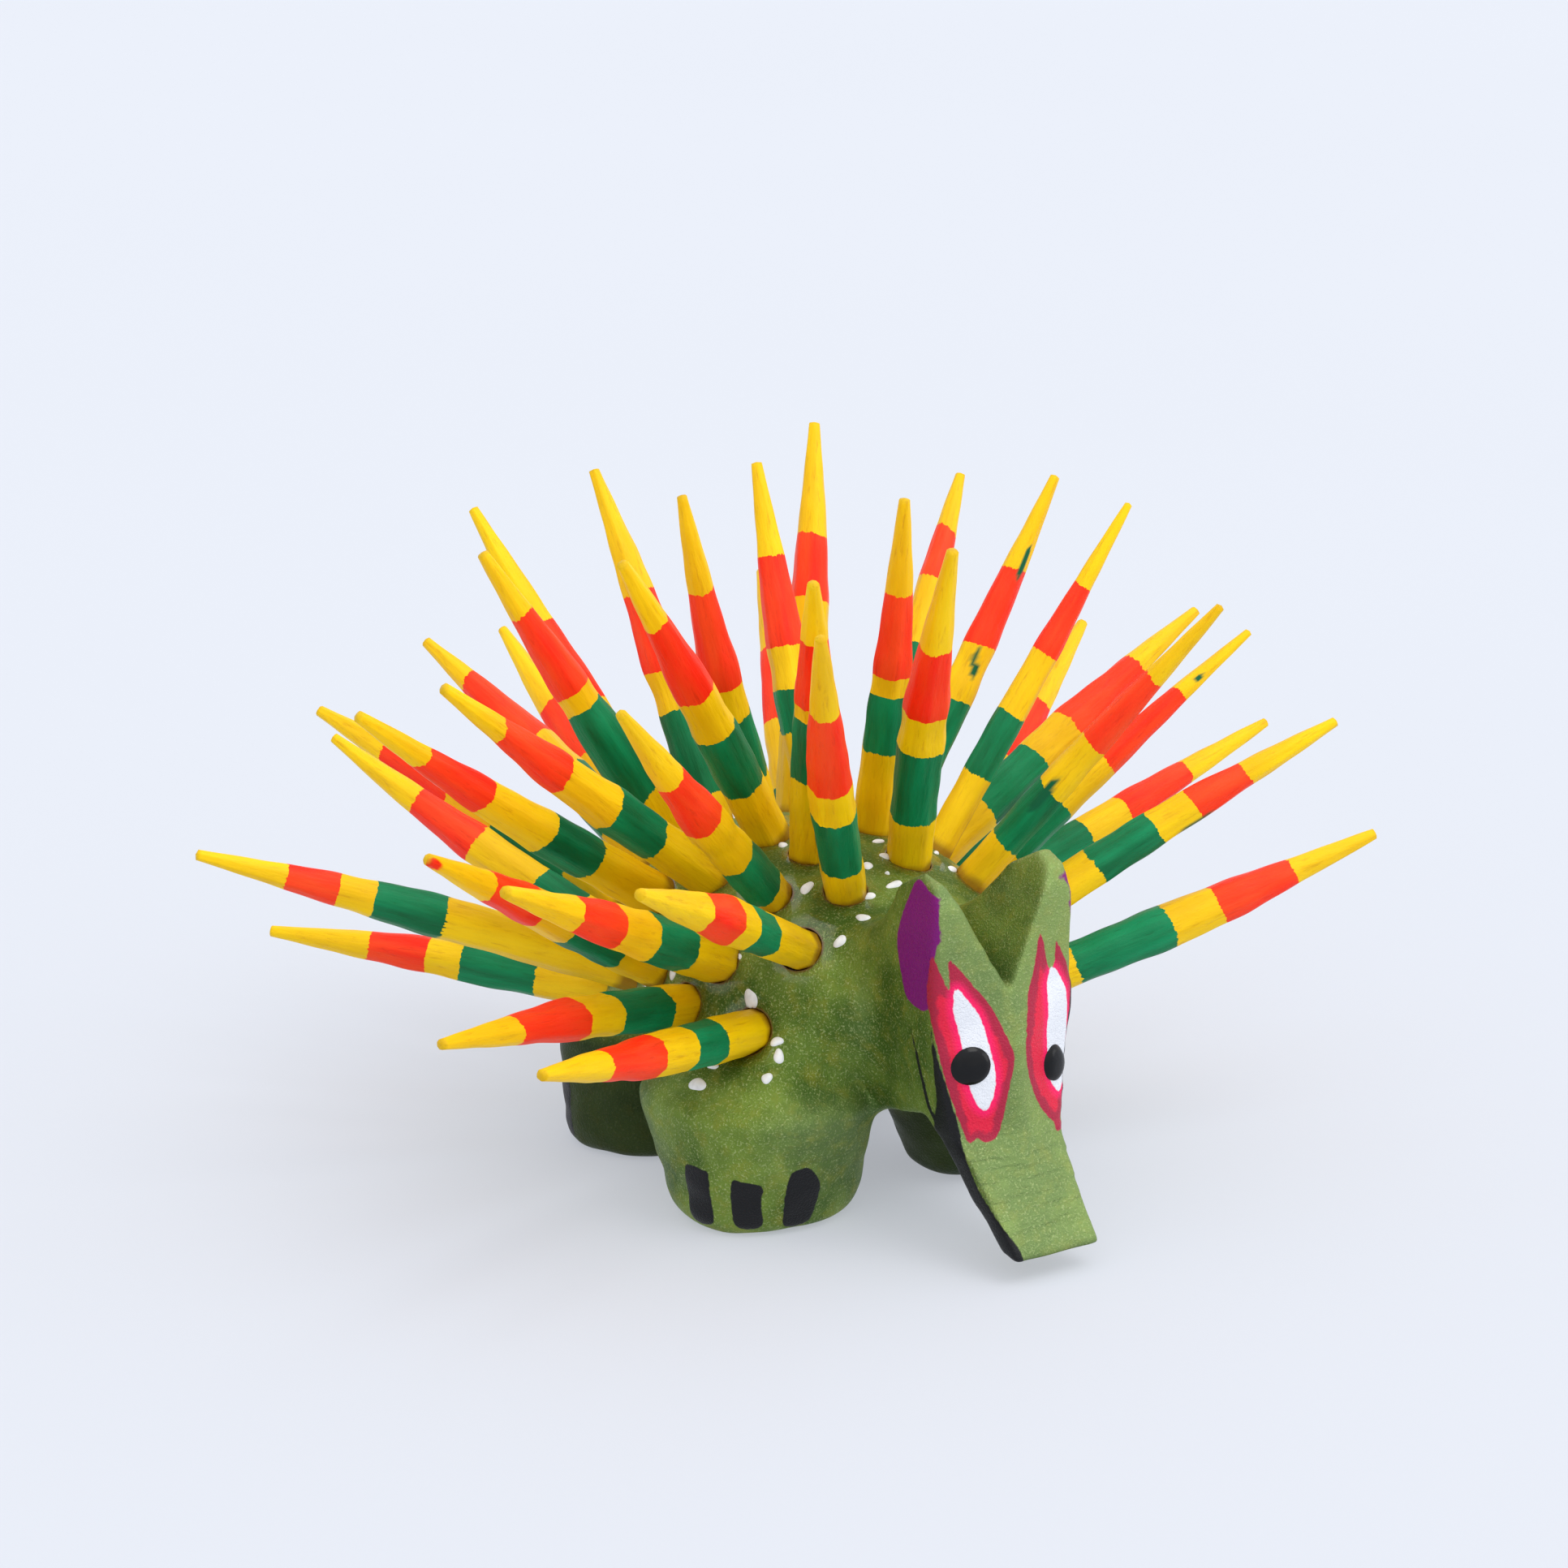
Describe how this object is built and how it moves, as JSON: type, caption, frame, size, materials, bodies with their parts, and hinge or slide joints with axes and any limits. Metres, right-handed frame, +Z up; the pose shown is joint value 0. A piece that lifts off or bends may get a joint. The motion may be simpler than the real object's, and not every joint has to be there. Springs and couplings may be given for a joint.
{
  "type": "alebrije figure",
  "caption": "Small carved and painted wooden porcupine on stubby legs, with a long flat snout and a fan of banded wooden quills.",
  "frame": {"origin": "on the floor, at the middle of the whole figure's plan", "axes": "+Z up, the animal looks along -Y, its left side is +X"},
  "size_m": [0.0642, 0.058, 0.0384],
  "materials": {
    "painted_body": "pearly olive green acrylic paint on carved wood, with painted eyes, ears, mouth, nails and dots",
    "painted_quill": "yellow acrylic paint with a red and a green band on whittled wood, satin"
  },
  "bodies": {
    "root": {"carved_body": "painted_body", "right_flank_quill_1": "painted_quill", "right_flank_quill_2": "painted_quill", "right_flank_quill_3": "painted_quill", "right_flank_quill_4": "painted_quill", "right_flank_quill_5": "painted_quill", "right_flank_quill_6": "painted_quill", "right_flank_quill_7": "painted_quill", "right_flank_quill_8": "painted_quill", "right_flank_quill_9": "painted_quill", "left_flank_quill_1": "painted_quill", "left_flank_quill_2": "painted_quill", "left_flank_quill_3": "painted_quill", "left_flank_quill_4": "painted_quill", "left_flank_quill_5": "painted_quill", "left_flank_quill_6": "painted_quill", "left_flank_quill_7": "painted_quill", "left_flank_quill_8": "painted_quill", "left_flank_quill_9": "painted_quill", "crest_quill_1": "painted_quill", "crest_quill_2": "painted_quill", "crest_quill_3": "painted_quill", "crest_quill_4": "painted_quill", "crest_quill_5": "painted_quill", "crest_quill_6": "painted_quill", "crest_quill_7": "painted_quill", "crest_quill_8": "painted_quill", "crest_quill_9": "painted_quill", "crest_quill_10": "painted_quill", "crest_quill_11": "painted_quill", "crest_quill_12": "painted_quill", "rump_quill_1": "painted_quill", "rump_quill_2": "painted_quill", "rump_quill_3": "painted_quill", "rump_quill_4": "painted_quill", "rump_quill_5": "painted_quill", "rump_quill_6": "painted_quill", "rump_quill_7": "painted_quill", "rump_quill_8": "painted_quill"}
  },
  "joints": []
}
